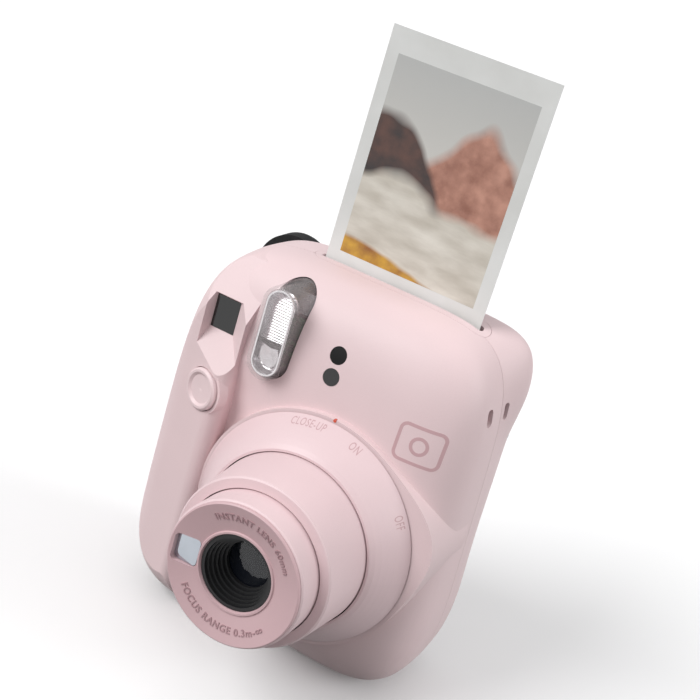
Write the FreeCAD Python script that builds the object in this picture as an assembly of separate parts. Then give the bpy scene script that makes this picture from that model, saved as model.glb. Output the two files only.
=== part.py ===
"""Instant camera with an extending lens and a print coming out of the top, one STEP file per piece.

Millimetres, +Z up, the front looks along -Y. The origin is the centre of the flat base, on the plane
where the front and rear shells meet.
"""
import FreeCAD
import Part
import os
from functools import cache
from math import cos, hypot, pi, radians, sin, tan
from FreeCAD import Vector

# ---- body ---------------------------------------------------------------------------------
WIDTH = 104.0
HEIGHT = 122.0
BASE_CUT = 1.0                  # the round bottom is cut flat this far up
WALL = 2.0
GAP = 0.25                      # working gap between neighbouring covers
FRONT_DEPTH = 25.8              # seam to the front face
GRIP_DEPTH = 33.0               # the same for the block that the grip is cut from
REAR_DEPTH = 24.0               # seam to the back face
TAPER_START = 30.0              # above this height the side away from the grip leans in
TAPER = 0.00105                 # its lean, as a share of the half width per millimetre
GRIP_TAPER = 0.0002             # the same on the grip's side
CORNER_POWER = 5.4              # squareness of the outline's corners
NET_POINTS = 72                 # control points round the outline
GRIP_SIDE_X = -52.2
GRIP_RIDGE_X = -28.2            # the grip is proudest here, next to the crease
GRIP_CREASE_X = -26.8
GRIP_TURN = 20.0                # degrees that the grip's front turns towards its own side
VALLEY_DEPTH = 3.9              # hollow between the grip and the front face
VALLEY_FADE_X = (-30.0, -11.0)  # it is at its full depth before the first, and gone after the second
VALLEY_FADE_Z = (76.0, 98.0)
EAR_X = 50.4                    # the rear shell's squarer upper corner reaches this far
EAR_POWER = 9.0
EAR_LOW_Z = 86.0
EAR_BLEND = 16.0

# ---- lens ---------------------------------------------------------------------------------
LENS_X = 8.5
LENS_Z = 50.0
PLATEAU_Y = -27.7               # flat on the front shell round the turning ring
PLATEAU_R = 37.2
PLATEAU_SWELL = 5.5             # the plateau reaches this much further out on one side
PLATEAU_SWELL_AT = 20.0         # degrees above level
PLATEAU_SWELL_WIDE = 23.0
RING_BACK_Y = -28.1
RING_FRONT_Y = -38.6
RING_R = 36.1
SLEEVE_OUT_R = 30.6             # cam sleeve behind the ring
SLEEVE_IN_R = 29.1
SLEEVE_BACK_Y = -14.0
GUIDE_OUT_R = 28.7              # fixed tube that the barrels slide in
GUIDE_IN_R = 27.2
OUTER_FRONT_Y = -57.8
OUTER_BACK_Y = -31.0
OUTER_R = 26.8
OUTER_LIP_R = 25.4
OUTER_BORE_R = 24.1
INNER_FRONT_Y = -67.4
INNER_BACK_Y = -48.5
INNER_R = 21.8
BEZEL_Y = -68.0
BEZEL_R = 21.0
LENS_HOLE_R = 11.4
MIRROR_X = LENS_X - 16.3
MIRROR_Z = LENS_Z - 0.3
LUGS = 3                        # guide lugs of the outer barrel, in slots of the fixed tube

# ---- print, film and rollers --------------------------------------------------------------
PRINT_X = 5.0
PRINT_Y = 2.3
PRINT_W = 54.0
PRINT_H = 86.0
PRINT_T = 0.3
PRINT_BOTTOM_Z = 108.8
IMAGE_W = 46.0
IMAGE_H = 62.0
IMAGE_LOW = 16.4                # bottom edge of the print to the picture
PACK_LOW_Z = 8.0
PACK_TOP_Z = 101.0
PACK_FRONT_Y = 1.0
PACK_BACK_Y = 19.0
PACK_HALF_W = 30.5
ROLLER_R = 3.3
ROLLER_Z = 109.3
ROLLER_OFFSET = ROLLER_R + PRINT_T / 2 + 0.1
ROLLER_HALF = 28.5
FRONT_ROLLER_Y = PRINT_Y - ROLLER_OFFSET
REAR_ROLLER_Y = PRINT_Y + ROLLER_OFFSET
ROLLER_TEETH = 14
IDLER_TEETH = 31
PINION_TEETH = 10
GEAR_MODULE = 2 * ROLLER_OFFSET / ROLLER_TEETH
GEAR_LINE = -125.3              # degrees, front roller's gear to idler to motor, in the YZ plane
GEAR_X_PAIR = (36.2, 37.4)      # the gears joining the two rollers
GEAR_X_TRAIN = (37.8, 39.1)     # the gears down to the motor
IDLER_REACH = GEAR_MODULE * (ROLLER_TEETH + IDLER_TEETH) / 2
MOTOR_REACH = IDLER_REACH + GEAR_MODULE * (IDLER_TEETH + PINION_TEETH) / 2
IDLER = (FRONT_ROLLER_Y + IDLER_REACH * cos(radians(GEAR_LINE)),
         ROLLER_Z + IDLER_REACH * sin(radians(GEAR_LINE)))
MOTOR = (FRONT_ROLLER_Y + MOTOR_REACH * cos(radians(GEAR_LINE)),
         ROLLER_Z + MOTOR_REACH * sin(radians(GEAR_LINE)))

# ---- controls, flash, finder --------------------------------------------------------------
BUTTON_X = -35.8
BUTTON_Z = 76.9
BUTTON_Y = -28.2
BUTTON_R = 6.9
BUTTON_TRAVEL = 1.2
FLASH_X = -18.0
FLASH_Z = 103.5
FLASH_Y = -29.6
FLASH_W = 11.8
FLASH_H = 30.0
FINDER_X = -37.6
FINDER_Z = 99.9
FINDER_W = 8.4
FINDER_H = 10.8
FINDER_Y = -22.0
EYE_X = -39.5
EYE_Z = 105.8
EYE_R = 12.5
EYE_CLEARANCE = 2.8     # between the eyepiece and the door that swings past it
SENSOR_R = 2.6
SENSORS = ((1.7, 103.9), (2.0, 97.3))

# ---- back and batteries -------------------------------------------------------------------
DOOR_PIN_X = -33.5
DOOR_PIN_Y = 21.9
DOOR_RIGHT_X = 40.0
DOOR_LOW_Z = 6.0
DOOR_TOP_Z = 103.0
KNUCKLE_R = 1.8
LATCH_X = 43.0
LATCH_Z = 62.0
COUNTER_X = 33.0
COUNTER_Z = 24.0
CELL_R = 7.2
CELL_LENGTH = 50.5
CELL_X = -41.4
CELL_Z = 22.0
CELL_YS = (-6.2, 9.2)
COVER_FRONT_Y = -14.0
COVER_PIN_Y = 17.0
COVER_PIN_X = -49.3
COVER_KNUCKLE_R = 1.4
COVER_LOW_Z = 17.0
COVER_TOP_Z = 79.0
SCREWS = ((44.0, 9.5), (46.0, 88.0), (-43.0, 8.0), (-47.0, 87.0))
SCREW_SEAT_Y = 13.0

AXIS_Y = Vector(0, 1, 0)
PLANES = {"xy": (lambda u, v, w: Vector(u, v, w), Vector(0, 0, 1)),
          "xz": (lambda u, v, w: Vector(u, w, v), Vector(0, 1, 0)),
          "yz": (lambda u, v, w: Vector(w, u, v), Vector(1, 0, 0))}
parts = {}


# ---- helpers ------------------------------------------------------------------------------
def box(x0, x1, y0, y1, z0, z1):
    return Part.makeBox(x1 - x0, y1 - y0, z1 - z0, Vector(x0, y0, z0))


def rod(radius, start, end):
    """A cylinder from one point to another."""
    way = Vector(*end) - Vector(*start)
    return Part.makeCylinder(radius, way.Length, Vector(*start), way)


def tube(outer, inner, start, end):
    return rod(outer, start, end).cut(rod(inner, start, end))


def join(first, *others):
    return first.multiFuse(list(others)).removeSplitter()


def cut(shape, *tools):
    for tool in tools:
        shape = shape.cut(tool)
    return shape


def save(name, shape):
    """Keeps the closed solids of a piece under its node's name."""
    solids = [s for s in shape.Solids if s.Volume > 0.05]
    parts[name] = solids[0] if len(solids) == 1 else Part.makeCompound(solids)


def prism(plane, corners, low, high):
    """A prism over corners (u, v) or (u, v, radius), the radius rounding that corner."""
    place, way = PLANES[plane]
    edges = []
    ends = []
    count = len(corners)
    for k, corner in enumerate(corners):
        at = Vector(corner[0], corner[1], 0)
        radius = corner[2] if len(corner) > 2 else 0
        before = (Vector(*corners[k - 1][:2], 0) - at).normalize()
        after = (Vector(*corners[(k + 1) % count][:2], 0) - at).normalize()
        if not radius:
            ends.append((at, at, None))
            continue
        half = before.getAngle(after) / 2
        middle = at + (before + after).normalize() * (radius / sin(half) - radius)
        ends.append((at + before * (radius / tan(half)), at + after * (radius / tan(half)), middle))
    for k, (start, end, middle) in enumerate(ends):
        spots = [place(p.x, p.y, low) for p in (start, middle, end) if p is not None]
        if middle is not None:
            edges.append(Part.Arc(*spots).toShape())
        following = ends[(k + 1) % count][0]
        if (following - end).Length > 1e-6:
            edges.append(Part.makeLine(place(end.x, end.y, low), place(following.x, following.y, low)))
    return Part.Face(Part.Wire(edges)).extrude(way * (high - low))


def rounded_box(plane, u0, u1, v0, v1, low, high, radius):
    corners = ((u0, v0, radius), (u1, v0, radius), (u1, v1, radius), (u0, v1, radius))
    return prism(plane, corners, low, high)


def turned(profile, x=LENS_X, z=LENS_Z):
    """A solid of revolution about a front-to-back axis, from (radius, y) corners."""
    points = [Vector(x + r, y, z) for r, y in profile]
    face = Part.Face(Part.makePolygon(points + points[:1]))
    return face.revolve(Vector(x, 0, z), AXIS_Y, 360)


def stadium(x, z, width, height, y0, y1):
    """An upright prism with round ends, running front to back."""
    r = width / 2
    flat = height / 2 - r
    return join(box(x - r, x + r, y0, y1, z - flat, z + flat),
                rod(r, (x, y0, z - flat), (x, y1, z - flat)),
                rod(r, (x, y0, z + flat), (x, y1, z + flat)))


def gear(teeth, x0, x1, centre, phase, bore):
    """A spur gear about an X axis at centre (y, z), one tooth pointing at the phase angle."""
    pitch_r = GEAR_MODULE * teeth / 2
    pitch = 2 * pi / teeth
    shape = ((-0.25, -0.45), (-0.13, 0.38), (0.13, 0.38), (0.25, -0.45))
    points = []
    for k in range(teeth):
        for turn, rise in shape:
            angle = radians(phase) + (k + turn) * pitch
            r = pitch_r + rise
            points.append(Vector(x0, centre[0] + r * cos(angle), centre[1] + r * sin(angle)))
    body = Part.Face(Part.makePolygon(points + points[:1])).extrude(Vector(x1 - x0, 0, 0))
    return body.cut(rod(bore, (x0 - 1, *centre), (x1 + 1, *centre)))


def skin(rows):
    """A closed solid through rings of control points, its two ends flat."""
    count, deep = len(rows[0]), len(rows)
    poles = [[rows[j][i] for j in range(deep)] for i in range(count)]
    surface = Part.BSplineSurface()
    surface.buildFromPolesMultsKnots(
        poles, [1] * (count + 1), [4] + [1] * (deep - 4) + [4],
        list(range(count + 1)), list(range(deep - 2)), True, False, 3, 3)
    side = surface.toShape()
    caps = [Part.Face(Part.Wire(e)) for e in side.Edges if e.isClosed()]
    shell = Part.makeShell([side] + caps)
    shell.sewShape()
    solid = Part.makeSolid(shell)
    if solid.Volume < 0:
        solid.reverse()
    return solid


def outline(inset, ear=0.0):
    """The body's outline from the front, as points (x, z), moved in by inset.

    ear, from 0 to 1, squares the upper corner on the side away from the grip.
    """
    found = []
    for k in range(NET_POINTS):
        turn = 2 * pi * k / NET_POINTS
        c, s = cos(turn), sin(turn)

        def at(half_w, power):
            reach = (abs(c) ** power + abs(s) ** power) ** (-1 / power)
            return ((half_w - inset) * c * reach,
                    (HEIGHT - BASE_CUT) / 2 + ((HEIGHT + BASE_CUT) / 2 - inset) * s * reach)

        x, z = at(WIDTH / 2, CORNER_POWER)
        x *= 1 - (TAPER if x > 0 else GRIP_TAPER) * max(0.0, z - TAPER_START)
        if ear and x > 0:
            ear_x, ear_z = at(EAR_X, EAR_POWER)
            blend = min(1, max(0, (z - EAR_LOW_Z) / EAR_BLEND))
            blend = ear * blend * blend * (3 - 2 * blend)
            x += (ear_x - x) * blend
            z += (ear_z - z) * blend
        found.append((x, z))
    return found


def half_body(inset, depth, sign, powers, end_share, ear=0.0, steps=9):
    """Half of the body as a filled solid, from the seam to a flat front or back.

    The section bends over with the powers for upwards, the grip's side and the other side. The
    flat is end_share of the outline's size, about the lens axis.
    """
    upward, left, right = powers
    rows = []
    for j in range(steps + 1):
        turn = pi / 2 * j / steps
        row = []
        for x, z in outline(inset, ear if j else 0):
            dx, dz = x - LENS_X, z - LENS_Z
            sideways = (dx / hypot(dx, dz)) ** 2
            power = 2 / (upward + ((left if dx < 0 else right) - upward) * sideways)
            bend = cos(turn) ** power if j < steps else 0
            share = end_share + (1 - end_share) * bend
            deep = sign * (depth - inset) * sin(turn) ** power
            row.append(Vector(LENS_X + dx * share, deep, LENS_Z + dz * share))
        rows.append(row)
    return skin(rows)


# ---- body blanks --------------------------------------------------------------------------
def grip_prism(inset):
    """The upright block of the grip: a flat front turned to its side, and a tight ridge."""
    front = -BUTTON_Y + (GRIP_RIDGE_X - BUTTON_X) * tan(radians(GRIP_TURN))
    side_front = front + (GRIP_SIDE_X - GRIP_RIDGE_X) * tan(radians(GRIP_TURN))
    corners = ((GRIP_SIDE_X + inset, 5), (GRIP_SIDE_X + inset, inset - side_front, 12 - inset),
               (GRIP_RIDGE_X - inset * 0.9, inset - front, 4 - inset), (GRIP_CREASE_X - inset, -12),
               (GRIP_CREASE_X - inset, 5))
    return prism("xy", corners, -5, HEIGHT + 5)


def plateau(inset, back):
    """The flat round the lens, swelling out on the side away from the grip."""
    points = []
    for k in range(NET_POINTS):
        turn = 360 * k / NET_POINTS
        off = (turn - PLATEAU_SWELL_AT + 180) % 360 - 180
        r = PLATEAU_R - inset + PLATEAU_SWELL * 2.718 ** -((off / PLATEAU_SWELL_WIDE) ** 2)
        points.append((r * cos(radians(turn)), r * sin(radians(turn))))
    depth = back - PLATEAU_Y - inset
    steps = (0, 0.35, 0.7, 1)
    return skin([[Vector(LENS_X + u * (1 + 0.03 * share), PLATEAU_Y + inset + depth * share,
                         LENS_Z + w * (1 + 0.03 * share)) for u, w in points] for share in steps])


def grip_side(inset):
    """The grip seen from the side: upright, then sloping back to meet the top."""
    corners = ((5, -5), (-33 + inset, -5), (-31.5 + inset, 95, 22), (-13.6 + inset * 0.8, 117.8 - inset),
               (0, 120.5 - inset), (5, 120.5 - inset))
    return prism("yz", corners, -60, 0)


def valley(inset):
    """The long hollow that the grip rises from, fading out towards the lens and the top."""
    def share(value, limits):
        t = min(1, max(0, (limits[1] - value) / (limits[1] - limits[0])))
        return t * t * (3 - 2 * t)

    across, up = 11, 14
    poles = [[Vector(x, inset - FRONT_DEPTH - 0.1
                     + VALLEY_DEPTH * share(x, VALLEY_FADE_X) * share(z, VALLEY_FADE_Z), z)
              for z in (-10 + 9 * j for j in range(up))] for x in (-64 + 6 * i for i in range(across))]
    surface = Part.BSplineSurface()
    surface.buildFromPolesMultsKnots(
        poles, [4] + [1] * (across - 4) + [4], [4] + [1] * (up - 4) + [4],
        list(range(across - 2)), list(range(up - 2)), False, False, 3, 3)
    solid = surface.toShape().extrude(Vector(0, -40, 0))
    if solid.Volume < 0:
        solid.reverse()
    return solid


@cache
def front_block(inset):
    """The whole front half, filled: body, grip and plateau."""
    body = half_body(inset, FRONT_DEPTH, -1, (2.9, 3.4, 3.6), 0.30).cut(valley(inset))
    grip = half_body(inset, GRIP_DEPTH, -1, (2.9, 4.3, 3.6), 0.30)
    grip = grip.common(grip_prism(inset)).common(grip_side(inset))
    whole = body.fuse(grip).fuse(plateau(inset, -3))
    return whole.cut(box(-60, 60, -60, 60, -5, inset))


@cache
def rear_block(inset):
    whole = half_body(inset, REAR_DEPTH, 1, (5.0, 5.0, 3.0), 0.55, 1.0)
    return whole.cut(box(-60, 60, -60, 60, -5, inset))


# ---- shells -------------------------------------------------------------------------------
def finder_recess(grow):
    """The notch in the grip before the finder: a steep wall, a floor sloping down, a chamfer."""
    left, right = FINDER_X - FINDER_W / 2 - grow, FINDER_X + FINDER_W / 2 + grow
    low, high = FINDER_Z - FINDER_H / 2 - grow, FINDER_Z + FINDER_H / 2 + grow
    wires = []
    for y, wider_left, wider_right, lower, higher in ((FINDER_Y + grow, 0, 0, 0, 0),
                                                      (FINDER_Y - 9, 2.5, 11, 13, 6)):
        corners = ((left - wider_left, low - lower), (right + wider_right, low - lower),
                   (right + wider_right, high + higher), (left - wider_left, high + higher))
        wires.append(Part.makePolygon([Vector(x, y, z) for x, z in corners + corners[:1]]))
    return Part.makeLoft(wires, True, True)


def at_button(shape):
    """Moves a shape built round the origin, facing -Y, to the shutter button's place."""
    shape.rotate(Vector(0, 0, 0), Vector(0, 0, 1), -GRIP_TURN)
    shape.translate(Vector(BUTTON_X, BUTTON_Y, BUTTON_Z))
    return shape


def slot_cut(extra, z0, z1):
    """The room taken by the film exit's lip, seen from above a strip with round ends."""
    half = PRINT_W / 2 + 3.4 + extra
    return rounded_box("xy", PRINT_X - half, PRINT_X + half, -2.4 - extra, 7.4 + extra, z0, z1,
                       4.9 + extra - 0.01)


def battery_opening(gap):
    return box(-60, -47.4, COVER_FRONT_Y + gap, COVER_PIN_Y + 2.2, COVER_LOW_Z + gap, COVER_TOP_Z - gap)


def door_opening(gap):
    panel = box(DOOR_PIN_X - KNUCKLE_R - 0.4, DOOR_RIGHT_X - gap, 18, 30, DOOR_LOW_Z + gap,
                DOOR_TOP_Z - gap)
    return panel.cut(rod(EYE_R + 1.2 + gap, (EYE_X, 10, EYE_Z), (EYE_X, 40, EYE_Z)))


def strap_slots():
    """The two slots that a strap's loop goes through, either side of the seam."""
    return (rounded_box("yz", -9.5, -6.3, 97.3, 102.7, 41.4, 60, 1.4),
            rounded_box("yz", 1.5, 3.7, 97.3, 102.7, 41.4, 60, 1.0))


def front_shell():
    body = front_block(0).cut(front_block(WALL))
    posts = [rod(2.8, (x, -20, z), (x, -0.2, z)).common(front_block(0)) for x, z in SCREWS]
    body = join(body, *posts)
    body = cut(body, *[rod(1.1, (x, -12, z), (x, 1, z)) for x, z in SCREWS])
    body = body.fuse(finder_recess(1.6).common(front_block(0)))
    body = cut(body, finder_recess(0),
               box(FINDER_X - FINDER_W / 2, FINDER_X + FINDER_W / 2, FINDER_Y - 1, FINDER_Y + 6,
                   FINDER_Z - FINDER_H / 2, FINDER_Z + FINDER_H / 2))
    body = cut(body, rod(SLEEVE_OUT_R + 0.9, (LENS_X, -40, LENS_Z), (LENS_X, 1, LENS_Z)))
    body = cut(body, stadium(FLASH_X, FLASH_Z, FLASH_W + 2 * GAP, FLASH_H + 2 * GAP, -40, -1))
    for x, z in SENSORS:
        body = body.cut(rod(SENSOR_R + 0.08, (x, -40, z), (x, -1, z)))
    body = body.fuse(at_button(rod(BUTTON_R + 1, (0, 0.6, 0), (0, 3.9, 0))))
    body = cut(body, at_button(rod(BUTTON_R, (0, -6, 0), (0, 2.9, 0))),
               at_button(rod(2.35, (0, 2, 0), (0, 8, 0))), index_dot(0.03))
    body = body.cut(slot_cut(0.12, 110, 130))
    body = cut(body, battery_opening(0), *strap_slots())
    return body.cut(box(-60, 60, -GAP / 4, 5, -5, HEIGHT + 5))


def rear_shell():
    outer = rear_block(0)
    body = outer.cut(rear_block(WALL))
    posts = [rod(2.8, (x, GAP / 4, z), (x, REAR_DEPTH, z)).common(outer) for x, z in SCREWS]
    eye_seat = tube(EYE_R + 1.6, EYE_R - 1.6, (EYE_X, 15, EYE_Z), (EYE_X, 23, EYE_Z)).common(outer)
    body = join(body, eye_seat, *posts)
    for x, z in SCREWS:
        body = cut(body, rod(1.35, (x, -1, z), (x, 30, z)), rod(2.5, (x, SCREW_SEAT_Y, z), (x, 30, z)))
    body = body.cut(rod(EYE_R - 1.9, (EYE_X, 12, EYE_Z), (EYE_X, 30, EYE_Z)))
    body = body.cut(rod(EYE_R + 0.1, (EYE_X, 17.3, EYE_Z), (EYE_X, 30, EYE_Z)))
    body = cut(body, door_opening(0), battery_opening(0), slot_cut(0.12, 110, 130), *strap_slots())
    body = body.cut(box(LATCH_X - 2.1, LATCH_X + 2.1, 16, 30, LATCH_Z - 11.3, LATCH_Z + 6.3))
    door_low, door_top = 26.3, 73.7
    hinge = [rod(KNUCKLE_R, (DOOR_PIN_X, DOOR_PIN_Y, door_low), (DOOR_PIN_X, DOOR_PIN_Y, door_top)),
             box(DOOR_PIN_X - 4, DOOR_PIN_X, DOOR_PIN_Y, DOOR_PIN_Y + 1.6, door_low, door_top)]
    cover_low, cover_top = COVER_LOW_Z + 17.3, COVER_TOP_Z - 18.3
    hinge += [rod(COVER_KNUCKLE_R, (COVER_PIN_X, COVER_PIN_Y, cover_low),
                  (COVER_PIN_X, COVER_PIN_Y, cover_top)),
              box(COVER_PIN_X - 1, COVER_PIN_X + 0.5, COVER_PIN_Y, COVER_PIN_Y + 3.2, cover_low, cover_top)]
    body = join(body, *hinge)
    body = cut(body, rod(0.76, (DOOR_PIN_X, DOOR_PIN_Y, 7), (DOOR_PIN_X, DOOR_PIN_Y, 93)),
               rod(0.76, (COVER_PIN_X, COVER_PIN_Y, COVER_LOW_Z - 1),
                   (COVER_PIN_X, COVER_PIN_Y, COVER_TOP_Z + 1)))
    return body.cut(box(-60, 60, -5, GAP / 4, -5, HEIGHT + 5))


def film_exit_lip():
    blank = slot_cut(0, 115.5, 130)
    lip = blank.common(front_block(0)).fuse(blank.common(rear_block(0))).removeSplitter()
    return lip.cut(rounded_box("xy", PRINT_X - PRINT_W / 2 - 1.2, PRINT_X + PRINT_W / 2 + 1.2,
                               PRINT_Y - 1.6, PRINT_Y + 1.6, 100, 130, 1.5))


# ---- lens ---------------------------------------------------------------------------------
def lens_ring():
    lip_r = GUIDE_IN_R + 0.7
    steps = 6
    cone = [(lip_r + (RING_R - lip_r) * k / steps,
             RING_FRONT_Y + (RING_BACK_Y - RING_FRONT_Y) * (k / steps) ** 1.25) for k in range(steps + 1)]
    inside = [(RING_R - 1.8, RING_BACK_Y), (SLEEVE_OUT_R, -33.4), (SLEEVE_OUT_R, SLEEVE_BACK_Y),
              (SLEEVE_IN_R, SLEEVE_BACK_Y), (SLEEVE_IN_R, RING_FRONT_Y + 1.7),
              (GUIDE_IN_R - 0.05, RING_FRONT_Y + 1.7), (GUIDE_IN_R - 0.05, RING_FRONT_Y)]
    return turned(cone + inside)


def round_lens(shape):
    """The same shape at each guide lug's angle."""
    copies = []
    for k in range(LUGS):
        copy = shape.copy()
        copy.rotate(Vector(LENS_X, 0, LENS_Z), AXIS_Y, 360 * k / LUGS)
        copies.append(copy)
    return copies


def lens_guide():
    body = turned([(GUIDE_IN_R, -35.8), (GUIDE_OUT_R, -35.8), (GUIDE_OUT_R, -11), (34, -11), (34, -9.4),
                   (GUIDE_IN_R, -9.4)])
    slot = box(LENS_X - 1.7, LENS_X + 1.7, -33.4, -12, LENS_Z + 25, LENS_Z + 32)
    return cut(body, *round_lens(slot))


def outer_barrel():
    body = turned([(INNER_R + 0.35, OUTER_FRONT_Y), (OUTER_LIP_R - 0.5, OUTER_FRONT_Y),
                   (OUTER_LIP_R, OUTER_FRONT_Y + 0.5), (OUTER_R, -38.4), (OUTER_R, -27.6),
                   (OUTER_BORE_R, -27.6), (OUTER_BORE_R, OUTER_FRONT_Y + 1.6),
                   (INNER_R + 0.35, OUTER_FRONT_Y + 1.6)])
    lug = box(LENS_X - 1.4, LENS_X + 1.4, -29.6, -27.6, LENS_Z + 25.5, LENS_Z + 28.2)
    return join(body, *round_lens(lug))


def inner_barrel():
    bore = INNER_R - 1.6
    return turned([(bore, -66.9), (INNER_R - 0.5, -66.9), (INNER_R, -66.4), (INNER_R, -52.6),
                   (OUTER_BORE_R - 0.3, -52.6), (OUTER_BORE_R - 0.3, INNER_BACK_Y), (bore, INNER_BACK_Y),
                   (bore, -51), (6.6, -51), (6.6, -52.4), (bore, -52.4)])


def front_bezel():
    """The dished front plate, with a raised rim round the lens opening and the mirror's recess."""
    rim = LENS_HOLE_R
    body = turned([(rim, -65.6), (rim + 0.3, -66.3), (rim + 0.8, -66.3), (rim + 1.1, -65.9),
                   (BEZEL_R - 0.6, -67.9), (BEZEL_R - 0.2, BEZEL_Y), (BEZEL_R + 0.2, BEZEL_Y + 0.3),
                   (BEZEL_R + 0.2, -67.0), (INNER_R - 1.7, -67.0), (INNER_R - 1.7, -63.4), (rim, -63.4)])
    recess = rounded_box("xz", MIRROR_X - 3.5, MIRROR_X + 4.1, MIRROR_Z - 4.4, MIRROR_Z + 4.4, -70, -64.9,
                         1.4)
    return body.cut(recess)


def lens_baffle():
    """Black stepped cone that narrows towards the glass."""
    steps = 6
    front, back = -65.4, -57.6
    profile = [(LENS_HOLE_R - 0.12, front)]
    profile += [(LENS_HOLE_R - 0.12, -63.3), (14, -63.3), (14, -62.5), (10.4, -62.5), (8.6, back)]
    for k in range(steps, 0, -1):
        r = 10.9 - 3.9 * k / steps
        y = front + (back - front) * k / steps
        profile += [(r, y), (r, y - (back - front) / steps)]
    return turned(profile)


def lens_element(y, radius, thick, bulge):
    """A round lens whose front bulges."""
    steps = 6
    front = [(radius * k / steps, y - bulge * (1 - (k / steps) ** 2)) for k in range(steps + 1)]
    return turned(front + [(radius, y + thick), (0, y + thick)])


def shutter_plate():
    plate = turned([(5, -54.3), (INNER_R - 1.7, -54.3), (INNER_R - 1.7, -53.2), (5, -53.2)])
    return join(plate, rod(0.9, (LENS_X + 13, -56.2, LENS_Z), (LENS_X + 13, -54, LENS_Z)))


def shutter_blade():
    pivot = rod(2, (LENS_X + 13, -55.2, LENS_Z), (LENS_X + 13, -54.7, LENS_Z))
    arm = box(LENS_X, LENS_X + 13, -55.2, -54.7, LENS_Z - 1.5, LENS_Z + 1.5)
    blade = rod(6.2, (LENS_X, -55.2, LENS_Z), (LENS_X, -54.7, LENS_Z))
    return join(blade, arm, pivot).cut(rod(0.96, (LENS_X + 13, -60, LENS_Z), (LENS_X + 13, -50, LENS_Z)))


def index_dot(grow):
    z = LENS_Z + RING_R + 0.8
    return rod(0.5 + grow, (LENS_X, PLATEAU_Y - 0.15, z), (LENS_X, PLATEAU_Y + 0.8 + grow, z))


# ---- film path ----------------------------------------------------------------------------
def roller(y, gears):
    """A roller across the film path, its shaft carrying gears at the far end."""
    left, right = PRINT_X - ROLLER_HALF, PRINT_X + ROLLER_HALF
    body = rod(ROLLER_R, (left, y, ROLLER_Z), (right, y, ROLLER_Z))
    shaft = rod(1.2, (left - 2.6, y, ROLLER_Z), (40.0, y, ROLLER_Z))
    return join(body, shaft, *gears)


def roller_frame():
    """Two end plates joined by a bar. The gears' spindle and the motor's seat stand on the right one."""
    plates = []
    for x0, x1 in ((-26.4, -25.1), (34.7, 35.9)):
        plates.append(rounded_box("yz", -8, 11, 104.6, 115, x0, x1, 2))
    arm = box(34.7, 35.9, -19.9, -5, 97.5, 106)
    tail = box(34.7, 35.9, -21.2, -7, 85, 98)
    bar = box(-26.4, 35.9, -8, -6.8, 105, 112)
    stub = rod(1.2, (34.8, IDLER[0], IDLER[1]), (39.9, IDLER[0], IDLER[1]))
    body = join(plates[0], plates[1], arm, tail, bar, stub)
    for y in (FRONT_ROLLER_Y, REAR_ROLLER_Y):
        body = body.cut(rod(1.25, (-30, y, ROLLER_Z), (40, y, ROLLER_Z)))
    return cut(body.common(front_block(WALL + 0.3).fuse(rear_block(WALL + 0.3))),
               rod(1.5, (34, *MOTOR), (37, *MOTOR)))


def exposure_chamber():
    """A dark box that widens from the lens to the film's window."""
    def wire(x0, x1, z0, z1, y):
        return Part.makePolygon([Vector(x, y, z) for x, z in (
            (x0, z0), (x1, z0), (x1, z1), (x0, z1), (x0, z0))])
    z0 = PACK_LOW_Z + 2 + IMAGE_LOW
    half, front, back = 17, -8.8, PACK_FRONT_Y - 0.3
    outer = Part.makeLoft([wire(LENS_X - half, LENS_X + half, LENS_Z - half, LENS_Z + half, front),
                           wire(PRINT_X - 25, PRINT_X + 25, z0 - 2, z0 + IMAGE_H + 2, back)], True, True)
    thin = half - 1.3
    inner = Part.makeLoft([wire(LENS_X - thin, LENS_X + thin, LENS_Z - thin, LENS_Z + thin, front - 0.01),
                           wire(PRINT_X - 23.7, PRINT_X + 23.7, z0 - 0.7, z0 + IMAGE_H + 0.7,
                                back + 0.01)], True, True)
    return outer.cut(inner)


def film_pack():
    x0, x1 = PRINT_X - PACK_HALF_W, PRINT_X + PACK_HALF_W
    z0 = PACK_LOW_Z + 2 + IMAGE_LOW
    body = rounded_box("xz", x0, x1, PACK_LOW_Z, PACK_TOP_Z, PACK_FRONT_Y, PACK_BACK_Y, 2)
    body = body.cut(box(x0 + 1.2, x1 - 1.2, PACK_FRONT_Y + 1, PACK_BACK_Y - 1, PACK_LOW_Z + 1.2,
                        PACK_TOP_Z - 1.2))
    body = body.cut(box(PRINT_X - IMAGE_W / 2, PRINT_X + IMAGE_W / 2, PACK_FRONT_Y - 1, PACK_FRONT_Y + 2,
                        z0, z0 + IMAGE_H))
    mouth = box(PRINT_X - PRINT_W / 2 - 0.8, PRINT_X + PRINT_W / 2 + 0.8, PRINT_Y - 0.3, PRINT_Y + 0.5,
                PACK_TOP_Z - 2, PACK_TOP_Z + 1)
    springs = [box(PRINT_X + s - 5, PRINT_X + s + 5, PACK_BACK_Y - 2, PACK_BACK_Y + 1, 30, 76)
               for s in (-16, 16)]
    return cut(body, mouth, *springs)


def film_sheets():
    """The unused sheets, one solid each."""
    sheets = []
    count = 9
    pitch = 1.45
    for k in range(count):
        y = PRINT_Y + 0.7 + k * pitch
        sheets.append(box(PRINT_X - PRINT_W / 2, PRINT_X + PRINT_W / 2, y, y + pitch - 0.15,
                          PACK_LOW_Z + 2, PACK_LOW_Z + 2 + PRINT_H))
    return Part.makeCompound(sheets)


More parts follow.
